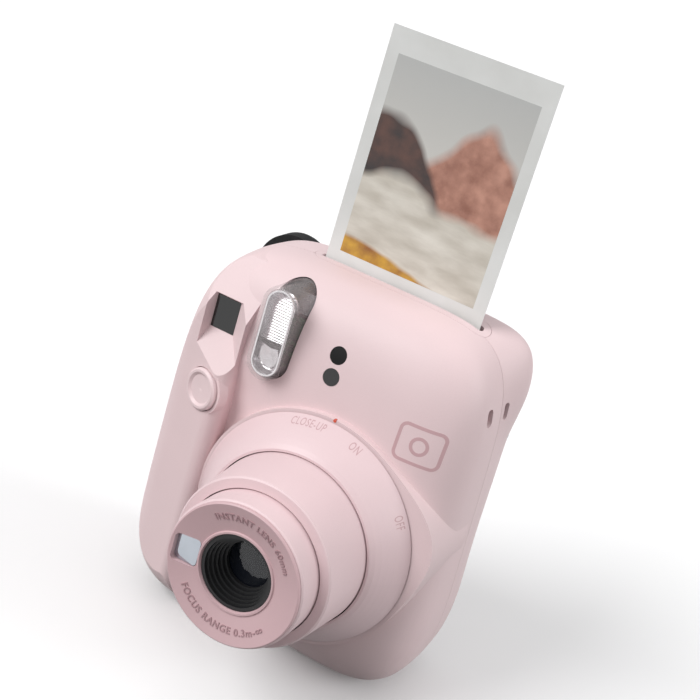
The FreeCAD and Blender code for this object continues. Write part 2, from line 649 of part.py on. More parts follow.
# ---- back ---------------------------------------------------------------------------------
def film_door():
    panel = rear_block(0).cut(rear_block(WALL)).common(door_opening(GAP))
    panel = panel.cut(box(DOOR_PIN_X - 5, DOOR_PIN_X + KNUCKLE_R + 0.3, 10, 30, 0, 120))
    pieces = [panel]
    for z in (9, 99):
        pieces.append(box(-22, DOOR_RIGHT_X - 4, 20.4, 22.4, z, z + 1.2))
    for z0, z1 in ((10, 26), (74, 90)):
        pieces.append(rod(KNUCKLE_R, (DOOR_PIN_X, DOOR_PIN_Y, z0), (DOOR_PIN_X, DOOR_PIN_Y, z1)))
        pieces.append(box(DOOR_PIN_X, DOOR_PIN_X + 4, DOOR_PIN_Y, DOOR_PIN_Y + 1.6, z0, z1))
    pieces.append(box(36.4, 37.6, 18.8, 22, LATCH_Z - 1, LATCH_Z + 4))
    pieces.append(box(36.4, 39.6, 18.8, 19.5, LATCH_Z - 1, LATCH_Z + 4))
    body = join(*pieces)
    body = body.cut(rod(0.8, (DOOR_PIN_X, DOOR_PIN_Y, 0), (DOOR_PIN_X, DOOR_PIN_Y, 120)))
    body = body.cut(rod(EYE_R + EYE_CLEARANCE, (EYE_X, 10, EYE_Z), (EYE_X, 40, EYE_Z)))
    body = body.cut(rod(4.2, (COUNTER_X, 10, COUNTER_Z), (COUNTER_X, 30, COUNTER_Z)))
    return body.cut(rounded_box("xz", PRINT_X - 4, PRINT_X + 4, 46, 76, 10, 30, 2))


def door_latch():
    """A ridged slider beside the door, with a nose behind the door's hook."""
    slider = box(LATCH_X - 1.8, LATCH_X + 1.8, 18, 30, LATCH_Z - 6, LATCH_Z + 6)
    slider = slider.common(rear_block(-0.45))
    for k in range(5):
        z = LATCH_Z - 4.4 + 2 * k
        slider = slider.cut(box(30, 60, 22.1, 30, z, z + 0.9))
    flange = box(LATCH_X - 3, LATCH_X + 3, 17.8, 25, LATCH_Z - 7, LATCH_Z + 7)
    flange = flange.common(rear_block(WALL + 0.3))
    nose = box(38.3, LATCH_X - 2.5, 19.8, 20.7, LATCH_Z - 0.8, LATCH_Z + 3.8)
    return join(slider, flange, nose)


def eyepiece_ring():
    return turned([(7.5, 18.6), (EYE_R - 1.2, 24.6), (EYE_R - 0.3, 24.4), (EYE_R, 23.6), (EYE_R, 17.4),
                   (EYE_R - 3.2, 17.4), (EYE_R - 3.2, 16), (7.5, 16)], EYE_X, EYE_Z)


def finder_tunnel():
    """A square black tube from the front window back to the eyepiece."""
    def wire(x, z, w, h, y):
        return Part.makePolygon([Vector(x + a * w / 2, y, z + b * h / 2) for a, b in (
            (-1, -1), (1, -1), (1, 1), (-1, 1), (-1, -1))])
    front, back = FINDER_Y + 1.2, 15.6
    outer = Part.makeLoft([wire(FINDER_X, FINDER_Z, FINDER_W - 0.3, FINDER_H - 0.3, front),
                           wire(EYE_X, EYE_Z, 9, 9, back)], True, True)
    inner = Part.makeLoft([wire(FINDER_X, FINDER_Z, FINDER_W - 2.3, FINDER_H - 2.3, front - 0.01),
                           wire(EYE_X, EYE_Z, 7.4, 7.4, back + 0.01)], True, True)
    return outer.cut(inner)


# ---- flash --------------------------------------------------------------------------------
def flash_window():
    """The clear tower: an open box with a round-edged front, from inside the shell outwards."""
    outer = stadium(FLASH_X, FLASH_Z, FLASH_W, FLASH_H, FLASH_Y, -14)
    front_edges = [e for e in outer.Edges
                   if all(abs(v.Y - FLASH_Y) < 0.01 for v in e.Vertexes)]
    outer = outer.makeFillet(1.2, front_edges)
    return outer.cut(stadium(FLASH_X, FLASH_Z, FLASH_W - 2, FLASH_H - 2, FLASH_Y + 1.2, -13))


def flash_reflector():
    """A bowl with a deep trough, open to the front."""
    w, h = FLASH_W - 2.5, FLASH_H - 2.5
    body = stadium(FLASH_X, FLASH_Z, w, h, FLASH_Y + 1.6, -17)
    grow = FreeCAD.Matrix()
    grow.scale(Vector(w / 2 - 0.7, 9.5, 1))
    trough = Part.makeCylinder(1, h - 5).transformGeometry(grow)
    trough.translate(Vector(FLASH_X, FLASH_Y + 1.6, FLASH_Z - h / 2 + 2.5))
    return body.cut(trough)


# ---- batteries ----------------------------------------------------------------------------
def batteries():
    cells = []
    for k, y in enumerate(CELL_YS):
        up = k % 2 == 0
        body_low = CELL_Z + (0 if up else 1.4)
        cell = rod(CELL_R, (CELL_X, y, body_low), (CELL_X, y, body_low + CELL_LENGTH - 1.4))
        nub_low = CELL_Z + CELL_LENGTH - 1.5 if up else CELL_Z
        cells.append(join(cell, rod(2.7, (CELL_X, y, nub_low), (CELL_X, y, nub_low + 1.5))))
    return Part.makeCompound(cells)


def battery_cradle():
    y0, y1 = CELL_YS[0] - CELL_R - 1.2, CELL_YS[1] + CELL_R + 0.2
    top = CELL_Z + CELL_LENGTH
    body = box(-47.4, CELL_X + CELL_R + 1.5, y0, y1, CELL_Z - 2.6, top + 2.6)
    for y in CELL_YS:
        body = body.cut(box(-50, CELL_X + CELL_R + 0.3, y - CELL_R - 0.25, y + CELL_R + 0.25,
                            CELL_Z - 1.4, top + 1.4))
    return body


def battery_contacts():
    """Two plates at each end of the cells, the lower two with a raised ring."""
    plates = []
    for y in CELL_YS:
        for z in (CELL_Z - 1.2, CELL_Z + CELL_LENGTH + 0.7):
            plates.append(rounded_box("xy", CELL_X - 5, CELL_X + 5, y - 5, y + 5, z, z + 0.4, 1))
        plates.append(tube(3, 2.4, (CELL_X, y, CELL_Z - 0.85), (CELL_X, y, CELL_Z - 0.15)))
    return Part.makeCompound(plates)


def battery_cover():
    area = battery_opening(GAP).cut(box(-60, -40, COVER_PIN_Y - 2.2, 40, 0, 120))
    pieces = [area.common(block(0)).cut(block(WALL)) for block in (front_block, rear_block)]
    for z0, z1 in ((COVER_LOW_Z + 3, COVER_LOW_Z + 17), (COVER_TOP_Z - 18, COVER_TOP_Z - 4)):
        pieces.append(rod(COVER_KNUCKLE_R, (COVER_PIN_X, COVER_PIN_Y, z0), (COVER_PIN_X, COVER_PIN_Y, z1)))
        pieces.append(box(COVER_PIN_X - 1.2, COVER_PIN_X + 0.4, COVER_PIN_Y - 2.7, COVER_PIN_Y, z0, z1))
    body = join(*pieces)
    return body.cut(rod(0.8, (COVER_PIN_X, COVER_PIN_Y, 0), (COVER_PIN_X, COVER_PIN_Y, 120)))


# ---- drive train and electrics ------------------------------------------------------------
def drive_gears():
    """The meshed gears, each with a tooth where its neighbour has a gap."""
    front, rear = (FRONT_ROLLER_Y, ROLLER_Z), (REAR_ROLLER_Y, ROLLER_Z)
    back = GEAR_LINE + 180
    return {"front": [gear(ROLLER_TEETH, *GEAR_X_PAIR, front, 0, 1.1),
                      gear(ROLLER_TEETH, *GEAR_X_TRAIN, front, GEAR_LINE, 1.1)],
            "rear": [gear(ROLLER_TEETH, *GEAR_X_PAIR, rear, 180 + 180 / ROLLER_TEETH, 1.1)],
            "idler": gear(IDLER_TEETH, *GEAR_X_TRAIN, IDLER, back + 180 / IDLER_TEETH, 1.25),
            "pinion": gear(PINION_TEETH, *GEAR_X_TRAIN, MOTOR, back + 180 / PINION_TEETH, 0.7)}


def motor():
    return join(rod(6, (15, *MOTOR), (34.2, *MOTOR)), rod(1.9, (12.6, *MOTOR), (15, *MOTOR)))


def motor_clamp():
    band = tube(7.2, 6.05, (22, *MOTOR), (27, *MOTOR))
    foot = box(22, 27, -26, MOTOR[0] - 6.5, MOTOR[1] - 3, MOTOR[1] + 3)
    return join(band, foot.common(front_block(WALL + 0.05)))


def motor_pinion(wheel):
    return join(wheel, rod(0.75, (34.5, *MOTOR), (GEAR_X_TRAIN[1] + 0.3, *MOTOR)))


def circuit_board():
    board = box(-24, 12, -8.6, -7.2, 86, 103.5)
    chips = [box(x, x + w, -9.6, -8.6, z, z + h) for x, z, w, h in (
        (-4, 96.5, 9, 6), (-22, 88, 6, 6), (-22, 97, 5, 5))]
    return join(board, *chips)


def shutter_button():
    cap = turned([(0, -0.3), (4.5, -0.4), (5.3, -1.1), (6.0, -1.1), (BUTTON_R - 0.25, -0.5),
                  (BUTTON_R - 0.25, 1.4), (2.2, 1.4), (2.2, 4.2), (3.0, 4.2), (3.0, 5.0), (0, 5.0)], 0, 0)
    return at_button(cap)


def strap_anchor():
    """A small channel behind the two slots, for the strap's loop to pass through."""
    inside = front_block(WALL + 0.1).fuse(rear_block(WALL + 0.1))
    body = box(40.2, 46, -10.6, 4.8, 96.2, 103.8).common(inside)
    return body.cut(box(41.4, 50, -9.5, 3.7, 97.3, 102.7))


def screws():
    found = []
    for x, z in SCREWS:
        top = SCREW_SEAT_Y + 1.6
        head = rod(2.3, (x, SCREW_SEAT_Y, z), (x, top, z))
        cross = join(box(x - 1.4, x + 1.4, top - 0.6, top + 1, z - 0.3, z + 0.3),
                     box(x - 0.3, x + 0.3, top - 0.6, top + 1, z - 1.4, z + 1.4))
        found.append(join(head, rod(1.05, (x, -8, z), (x, SCREW_SEAT_Y + 0.1, z))).cut(cross))
    return Part.makeCompound(found)


def pressure_springs():
    """Two bowed leaves on the door that push the film forward."""
    leaves = []
    for s in (-16, 16):
        x = PRINT_X + s
        leaves.append(prism("yz", [(21.9, 34), (19.4, 47), (19.4, 59), (21.9, 72), (21.6, 73),
                                   (19.1, 59.4), (19.1, 46.6), (21.6, 33)], x - 4, x + 4))
    return Part.makeCompound(leaves)


def save_shells():
    save("front_shell", front_shell())
    save("rear_shell", rear_shell())
    save("film_exit_lip", film_exit_lip())
    save("screws", screws())
    save("strap_anchor", strap_anchor())


def save_lens():
    save("lens_ring", lens_ring())
    save("lens_guide", lens_guide())
    save("outer_barrel", outer_barrel())
    save("inner_barrel", inner_barrel())
    save("front_bezel", front_bezel())
    save("selfie_mirror", rounded_box("xz", MIRROR_X - 3.35, MIRROR_X + 3.95, MIRROR_Z - 4.25,
                                      MIRROR_Z + 4.25, -65.9, -65.0, 1.3))
    save("lens_baffle", lens_baffle())
    save("lens_front_element", lens_element(-57.2, 7.4, 1.5, 1.0))
    save("lens_rear_element", lens_element(-52.3, 6.5, 1.6, 0.4))
    save("shutter_plate", shutter_plate())
    save("shutter_blade", shutter_blade())
    save("index_dot", index_dot(0))


def save_front_details():
    save("flash_window", flash_window())
    save("flash_reflector", flash_reflector())
    save("flash_tube", rod(1.1, (FLASH_X, FLASH_Y + 7, FLASH_Z - 10), (FLASH_X, FLASH_Y + 7, FLASH_Z + 10)))
    save("finder_window", box(FINDER_X - FINDER_W / 2 + 0.1, FINDER_X + FINDER_W / 2 - 0.1, FINDER_Y,
                              FINDER_Y + 1, FINDER_Z - FINDER_H / 2 + 0.1, FINDER_Z + FINDER_H / 2 - 0.1))
    save("finder_tunnel", finder_tunnel())
    save("eyepiece_ring", eyepiece_ring())
    save("eyepiece_lens", lens_element(19.4, 7.4, 1.2, 0.4).translated(Vector(EYE_X - LENS_X, 0,
                                                                              EYE_Z - LENS_Z)))
    windows = [rod(SENSOR_R, (x, -40, z), (x, -16, z)).common(front_block(0)) for x, z in SENSORS]
    save("sensor_windows", Part.makeCompound(windows))
    save("shutter_button", shutter_button())
    cup = [(1.5, 6.7), (2.1, 6.7), (3.2, 9.4), (2.6, 9.4)]
    save("shutter_spring", at_button(turned(cup, 0, 0)))
    save("shutter_switch", at_button(box(-5.5, 1.5, 9.6, 12, -1, 5)))


def save_film_path():
    gears = drive_gears()
    save("front_roller", roller(FRONT_ROLLER_Y, gears["front"]))
    save("rear_roller", roller(REAR_ROLLER_Y, gears["rear"]))
    save("idler_gear", gears["idler"])
    save("motor_pinion", motor_pinion(gears["pinion"]))
    save("drive_motor", motor())
    save("motor_clamp", motor_clamp())
    save("roller_frame", roller_frame())
    save("instant_print", box(PRINT_X - PRINT_W / 2, PRINT_X + PRINT_W / 2, PRINT_Y - PRINT_T / 2,
                              PRINT_Y + PRINT_T / 2, PRINT_BOTTOM_Z, PRINT_BOTTOM_Z + PRINT_H))
    save("film_pack", film_pack())
    save("film_sheets", film_sheets())
    save("exposure_chamber", exposure_chamber())
    save("circuit_board", circuit_board())
    save("flash_capacitor", rod(4.2, (-9.5, -14.4, 90.0), (11, -14.4, 90.0)))


def save_back():
    save("film_door", film_door())
    save("door_pin", rod(0.75, (DOOR_PIN_X, DOOR_PIN_Y, 8), (DOOR_PIN_X, DOOR_PIN_Y, 92)))
    save("door_latch", door_latch())
    save("pack_window", rounded_box("xz", PRINT_X - 3.9, PRINT_X + 3.9, 46.1, 75.9, 22.3, 23.6, 1.9))
    save("counter_window", rod(4.1, (COUNTER_X, 22.6, COUNTER_Z), (COUNTER_X, 23.6, COUNTER_Z)))
    dial = join(rod(5, (COUNTER_X, 20.3, COUNTER_Z), (COUNTER_X, 21.2, COUNTER_Z)),
                rod(1, (COUNTER_X, 19.6, COUNTER_Z), (COUNTER_X, 20.4, COUNTER_Z)))
    save("counter_dial", dial)
    save("pressure_springs", pressure_springs())


def save_batteries():
    save("batteries", batteries())
    save("battery_cradle", battery_cradle())
    save("battery_contacts", battery_contacts())
    save("battery_cover", battery_cover())
    save("battery_cover_pin", rod(0.75, (COVER_PIN_X, COVER_PIN_Y, COVER_LOW_Z + 0.5),
                                  (COVER_PIN_X, COVER_PIN_Y, COVER_TOP_Z - 0.5)))


def main():
    for step in (save_shells, save_lens, save_front_details, save_film_path, save_back, save_batteries):
        step()
    os.makedirs("parts", exist_ok=True)
    for name, shape in parts.items():
        shape.exportStep("parts/" + name + ".step")


main()
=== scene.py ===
"""The looks of the instant camera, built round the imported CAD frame."""
import math
import random

import bmesh
import bpy
from mathutils import Matrix, Vector
from mathutils.bvhtree import BVHTree


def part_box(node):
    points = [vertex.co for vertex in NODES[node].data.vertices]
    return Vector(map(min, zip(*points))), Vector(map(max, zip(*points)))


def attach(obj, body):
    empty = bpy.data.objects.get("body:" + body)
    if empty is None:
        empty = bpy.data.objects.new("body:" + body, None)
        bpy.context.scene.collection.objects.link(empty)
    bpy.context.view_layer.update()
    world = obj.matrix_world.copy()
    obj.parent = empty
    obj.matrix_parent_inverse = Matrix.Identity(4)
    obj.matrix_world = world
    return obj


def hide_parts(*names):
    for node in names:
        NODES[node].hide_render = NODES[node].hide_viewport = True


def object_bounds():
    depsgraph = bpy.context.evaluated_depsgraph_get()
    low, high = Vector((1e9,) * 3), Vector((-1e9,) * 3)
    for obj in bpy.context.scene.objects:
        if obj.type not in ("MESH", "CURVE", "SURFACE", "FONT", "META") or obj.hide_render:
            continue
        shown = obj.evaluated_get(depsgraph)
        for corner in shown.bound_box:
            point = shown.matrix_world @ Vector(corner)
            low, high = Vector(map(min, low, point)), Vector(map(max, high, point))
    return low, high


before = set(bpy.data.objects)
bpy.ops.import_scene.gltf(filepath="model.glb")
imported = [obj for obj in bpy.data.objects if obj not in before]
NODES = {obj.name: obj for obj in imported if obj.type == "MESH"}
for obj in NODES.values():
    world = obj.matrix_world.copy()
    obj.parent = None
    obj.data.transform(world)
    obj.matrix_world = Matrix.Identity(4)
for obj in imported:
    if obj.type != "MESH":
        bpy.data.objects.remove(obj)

MM = 0.001
CAD_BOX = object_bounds()


# ---- places that the CAD gives --------------------------------------------------------------
def centre(node):
    low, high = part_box(node)
    return (low + high) / 2


LENS = centre("front_bezel")
FLASH = centre("flash_window")
FLASH_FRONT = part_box("flash_window")[0].y
PRINT_LOW, PRINT_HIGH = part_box("instant_print")

# ---- view -----------------------------------------------------------------------------------
VIEW_AT = (0.13469, -0.35709, 0.24598)
VIEW_RIGHT = (0.851074, 0.446322, 0.276532)
VIEW_UP = (-0.401517, 0.213885, 0.890526)
VIEW_BACK = (0.338316, -0.868936, 0.361238)
VIEW_LENS = 68.536              # mm, on a sensor of SENSOR_W
SENSOR_W = 36

# ---- sizes ----------------------------------------------------------------------------------
NODE_SHARP = 26                 # degrees between faces that show as an edge on a CAD node
PIECE_SHARP = 30
LETTER_SHARP = 12
RIB_SHARP = 10
FACET_SHARP = 5

PICTURE_W = 46 * MM
PICTURE_H = 62 * MM
PICTURE_LOW = 16.4 * MM         # above the print's lower edge

WORDS_SPACING = 1.12
BEZEL_WORDS_R = 17 * MM
BEZEL_WORDS_SIZE = 2.75 * MM
BEZEL_WORDS_RISE = 0.22 * MM
BEZEL_WORDS_THICKEN = 0.03 * MM
RING_WORDS_R = 34.5 * MM
RING_WORDS_SIZE = 2.3 * MM
RING_WORDS_RISE = 0.06 * MM
MARK_RIGHT = 25.5 * MM          # of the lens axis
MARK_ABOVE = 39.5 * MM
MARK_RISE = 0.03 * MM
# Half width, half height and corner radius of a band's inside and outside, in millimetres.
MARK_FRAME = ((6.2, 5.0, 1.5), (7.2, 6.0, 2.5))
MARK_LENS = ((1.9, 1.9, 1.9), (2.9, 2.9, 2.9))
SUNK = 0.06 * MM                # how far the words and the mark reach into the surface
RAY_START_Y = -0.2              # ahead of the whole camera

BOWL_HALF_W = 4.55 * MM
BOWL_HALF_H = 13.6 * MM
BOWL_FRONT = FLASH_FRONT + 1.7 * MM
BOWL_WALL = 0.3 * MM
BOWL_INSET = 0.25 * MM
BOWL_LEAST_H = 0.25             # share of the bowl's height that doesn't narrow with depth
# Depth in millimetres, and the share of the mouth's size there.
BOWL_NARROWING = ((0.0, 1.0), (1.5, 0.93), (3.5, 0.84), (6.0, 0.70), (8.0, 0.50), (8.8, 0.3))
RIM_SIDE = 0.5 * MM
RIM_AHEAD = 0.7 * MM
# Right of and above the flash's middle, in millimetres.
SHADE_OUTLINE = ((-3.7, -2.6), (3.7, -2.2), (3.7, -4.0), (0.6, -4.6), (-3.7, -3.6))
SHADE_DEPTH = 0.3 * MM
RIBS_INSET = 0.6 * MM           # inside the bowl's mouth
RIBS_BEHIND = 2.2 * MM
RIB_EDGES = 58
RIB_RISE = 0.22 * MM
RIBS_THICK = 0.7 * MM
RIBS_SHARE_H = 0.97             # of the height, so that the end ribs keep some width
FACET_COUNT = 9
FACETS_BEHIND = 0.6 * MM
FACETS_RIGHT = 0.4 * MM         # of the flash's middle
FACETS_BELOW = 7.0 * MM
FACETS_HALF_W = 3.2 * MM
FACETS_HALF_H = 4.3 * MM
FACET_TIP = 0.8 * MM
FACET_THICK = 0.5 * MM
FACET_UNEVEN = (-0.5 * MM, 0.6 * MM)

DIAL_NUMBERS = 11
DIAL_NUMBER_SIZE = 2.2 * MM
DIAL_NUMBER_THICK = 0.04 * MM
DIAL_NUMBER_RISE = 0.03 * MM
DIAL_NUMBER_R = 3.2 * MM

FLOOR_HALF = 6.0
FLOOR_GAP = 0.0002
LAMP_ANGLE = 35
KEY_POWER = 2.0
EDGE_POWER = 1.1
SKY_FADE = (-0.25, 0.35)        # heights of direction between which the sky brightens
SKY_STRENGTH = (0.08, 0.62)


# ---- material helpers -----------------------------------------------------------------------
def srgb(r, g, b):
    """A linear colour from screen values of 0 to 255."""
    return tuple(((c / 255 + 0.055) / 1.055) ** 2.4 for c in (r, g, b)) + (1.0,)


def scaled(colour, share):
    return tuple(min(1, c * share) for c in colour[:3]) + (1.0,)


class Surface:
    """One material, with short calls for its nodes. Textures use object coordinates, in metres."""

    def __init__(self, name, **sockets):
        self.material = bpy.data.materials.new(name)
        self.material.use_nodes = True
        self.tree = self.material.node_tree
        self.shader = self.tree.nodes["Principled BSDF"]
        self.place = self.add("ShaderNodeTexCoord").outputs["Object"]
        for socket, value in sockets.items():
            self.shader.inputs[socket.replace("_", " ")].default_value = value

    def feed(self, socket, value):
        """Links a socket to another node's output, or sets it to a value."""
        if isinstance(value, bpy.types.NodeSocket):
            self.tree.links.new(value, socket)
        else:
            socket.default_value = value

    def add(self, kind, *inputs, **settings):
        node = self.tree.nodes.new(kind)
        for key, value in settings.items():
            setattr(node, key, value)
        for socket, value in zip(node.inputs, inputs):
            self.feed(socket, value)
        return node

    def math(self, operation, *values):
        return self.add("ShaderNodeMath", *values, operation=operation).outputs[0]

    def between(self, value, low, high):
        """1 where a value is between two others, and 0 elsewhere."""
        return self.math("MULTIPLY", self.math("GREATER_THAN", value, low),
                         self.math("LESS_THAN", value, high))

    def noise(self, scale, detail=2.0, stretch=None):
        place = self.place
        if stretch:
            place = self.add("ShaderNodeVectorMath", place, stretch, operation="MULTIPLY").outputs[0]
        node = self.add("ShaderNodeTexNoise", place)
        node.inputs["Scale"].default_value = scale
        node.inputs["Detail"].default_value = detail
        return node.outputs[0]

    def remap(self, value, low, high, from_low=0.3, from_high=0.7):
        return self.add("ShaderNodeMapRange", value, from_low, from_high, low, high).outputs[0]

    def mix(self, factor, first, second):
        node = self.add("ShaderNodeMix", data_type="RGBA")
        factor_socket, first_socket, second_socket = node.inputs[0], node.inputs[6], node.inputs[7]
        self.feed(factor_socket, factor)
        self.feed(first_socket, first)
        self.feed(second_socket, second)
        return node.outputs[2]

    def drive(self, socket, value):
        self.tree.links.new(value, self.shader.inputs[socket])

    def bump(self, height, depth, strength=1.0):
        """Bump that deep, in metres."""
        node = self.add("ShaderNodeBump")
        node.inputs["Strength"].default_value = strength
        node.inputs["Distance"].default_value = depth
        self.tree.links.new(height, node.inputs["Height"])
        self.drive("Normal", node.outputs[0])


# ---- materials ------------------------------------------------------------------------------
def moulded(name, colour, rough=0.5, grain=0.00002):
    """Injection-moulded plastic: a fine spark-eroded grain, and slow changes of tone and gloss."""
    s = Surface(name)
    slow = s.noise(24, 3)
    fine = s.noise(2400, 3)
    tone = s.mix(s.remap(slow, 0, 1), scaled(colour, 0.965), scaled(colour, 1.03))
    speck = s.remap(fine, 0, 1, 0.25, 0.75)
    s.drive("Base Color", s.mix(s.math("MULTIPLY", speck, 0.12), tone, scaled(colour, 0.82)))
    gloss = s.math("ADD", slow, s.math("MULTIPLY", fine, 0.5))
    s.drive("Roughness", s.remap(gloss, rough - 0.05, rough + 0.06, 0.5, 1.0))
    s.bump(fine, grain)
    return s.material


def polished(name, colour, rough=0.08):
    """Gloss plastic with a little moulding ripple and a few dull patches."""
    s = Surface(name, Coat_Weight=0.4, Coat_Roughness=0.05)
    slow = s.noise(90, 2)
    s.drive("Base Color", s.mix(s.remap(slow, 0, 1), colour, scaled(colour, 1.25)))
    s.drive("Roughness", s.remap(s.noise(400, 2), rough, rough + 0.09))
    s.bump(slow, 0.00003)
    return s.material


def metal(name, colour, rough=0.3, stretch=(1, 1, 30)):
    """Rolled or turned metal with fine lines along its working direction."""
    s = Surface(name, Metallic=1.0)
    lines = s.noise(700, 3, stretch)
    s.drive("Base Color", s.mix(s.remap(lines, 0, 1), scaled(colour, 0.82), colour))
    s.drive("Roughness", s.remap(lines, rough - 0.07, rough + 0.1))
    s.bump(lines, 0.000006)
    return s.material


def clear(name, colour, alpha, rough=0.03, ripple=0.00002):
    """Clear plastic or glass, thin enough to see through, with slight ripple and a little haze."""
    s = Surface(name, Alpha=alpha, IOR=1.5, Coat_Weight=0.8, Coat_Roughness=0.02)
    slow = s.noise(160, 2)
    s.drive("Base Color", s.mix(s.remap(slow, 0, 1), colour, scaled(colour, 0.94)))
    s.drive("Roughness", s.remap(s.noise(900, 2), rough, rough + 0.05))
    s.bump(slow, ripple)
    return s.material


def rubber(name, colour):
    """Matt rubber with a fine, slightly dusty grain."""
    s = Surface(name, Specular_IOR_Level=0.3)
    fine = s.noise(1500, 4)
    s.drive("Base Color", s.mix(s.remap(fine, 0, 1), colour, scaled(colour, 1.9)))
    s.drive("Roughness", s.remap(s.noise(120, 3), 0.62, 0.8))
    s.bump(fine, 0.00005)
    return s.material


def card(name, colour):
    """Coated card with faint fibres."""
    s = Surface(name)
    fibre = s.noise(500, 4, (1, 1, 4))
    s.drive("Base Color", s.mix(s.remap(fibre, 0, 1), scaled(colour, 0.95), colour))
    s.drive("Roughness", s.remap(s.noise(70, 2), 0.34, 0.46))
    s.bump(fibre, 0.00001)
    return s.material


def sleeve(name, colour, band_colour, level):
    """A printed cell sleeve with a coloured band above that height."""
    s = Surface(name, Metallic=0.6, Coat_Weight=0.5)
    height = s.add("ShaderNodeSeparateXYZ", s.place).outputs[2]
    uneven = s.math("ADD", height, s.math("MULTIPLY", s.noise(900), 0.0001))
    band = s.math("GREATER_THAN", uneven, level)
    s.drive("Base Color", s.mix(band, colour, band_colour))
    s.drive("Roughness", s.remap(s.noise(300), 0.22, 0.36))
    return s.material


def circuit(name):
    """Green solder mask over square copper tracks."""
    s = Surface(name, Coat_Weight=0.5)
    node = s.add("ShaderNodeTexVoronoi", s.place, feature="F1", distance="CHEBYCHEV")
    node.inputs["Scale"].default_value = 420
    track = s.math("LESS_THAN", node.outputs["Distance"], 0.28)
    s.drive("Base Color", s.mix(track, srgb(24, 88, 52), srgb(52, 128, 74)))
    s.drive("Roughness", s.remap(s.noise(200), 0.3, 0.45))
    s.bump(track, 0.00003)
    return s.material


def print_picture(name):
    """Off-white print card, black behind, with a picture of dunes under a pale sky on its front."""
    s = Surface(name, Coat_Weight=0.35, Coat_Roughness=0.12)
    x, _, z = s.add("ShaderNodeSeparateXYZ", s.place).outputs
    normal = s.add("ShaderNodeNewGeometry").outputs["Normal"]
    facing_back = s.add("ShaderNodeSeparateXYZ", normal).outputs[1]
    left = (PRINT_LOW.x + PRINT_HIGH.x - PICTURE_W) / 2
    low = PRINT_LOW.z + PICTURE_LOW
    window = s.math("MULTIPLY", s.between(x, left, left + PICTURE_W),
                    s.between(z, low, low + PICTURE_H))
    window = s.math("MULTIPLY", window, s.math("LESS_THAN", facing_back, -0.5))
    across = s.math("DIVIDE", s.math("SUBTRACT", x, left), PICTURE_W)
    up = s.math("DIVIDE", s.math("SUBTRACT", z, low), PICTURE_H)
    soft = s.noise(45, 2)
    rough = s.noise(180, 4)

    def wavy(base, slope, waves, swing, phase, wander):
        """The height of a sloping, waving and wandering line that crosses the picture."""
        wave = s.math("SINE", s.math("ADD", s.math("MULTIPLY", across, waves), phase))
        line = s.math("ADD", s.math("MULTIPLY", wave, swing), base)
        line = s.math("ADD", line, s.math("MULTIPLY", across, slope))
        return s.math("ADD", line, s.math("MULTIPLY", s.math("SUBTRACT", soft, 0.5), wander))

    far = s.mix(s.remap(rough, 0, 1), srgb(150, 98, 80), srgb(206, 152, 132))
    near = s.mix(s.remap(rough, 0, 1), srgb(38, 26, 26), srgb(92, 60, 50))
    sand = s.mix(s.remap(s.noise(60, 4, (1, 1, 3)), 0, 1), srgb(196, 188, 174), srgb(238, 233, 222))
    strip = s.mix(s.remap(rough, 0, 1), srgb(150, 92, 38), srgb(226, 176, 62))
    picture = s.mix(s.remap(up, 0, 1, 0.4, 1.0), srgb(222, 219, 212), srgb(198, 199, 197))
    layers = (
        (far, wavy(0.62, 0.04, 6.0, 0.14, 3.4, 0.25), 0.04),
        (near, wavy(0.66, -0.42, 5.0, 0.13, 0.4, 0.3), 0.03),
        (sand, wavy(0.40, 0.0, 4.0, 0.05, 1.0, 0.25), 0.03),
        (strip, wavy(0.09, -0.16, 3.0, 0.02, 0.0, 0.12), 0.012),
    )
    for colour, line, blur in layers:
        below = s.remap(s.math("SUBTRACT", line, up), 0, 1, -blur, blur)
        picture = s.mix(below, picture, colour)
    paper = s.mix(s.remap(s.noise(60, 3), 0, 1), srgb(226, 227, 224), srgb(238, 239, 237))
    back = s.mix(s.remap(rough, 0, 1), srgb(22, 22, 24), srgb(32, 32, 35))
    paper = s.mix(s.math("GREATER_THAN", facing_back, 0.5), paper, back)
    s.drive("Base Color", s.mix(window, paper, picture))
    s.drive("Roughness", s.remap(s.noise(80, 2), 0.28, 0.38))
    s.bump(window, 0.00004, 0.6)
    return s.material


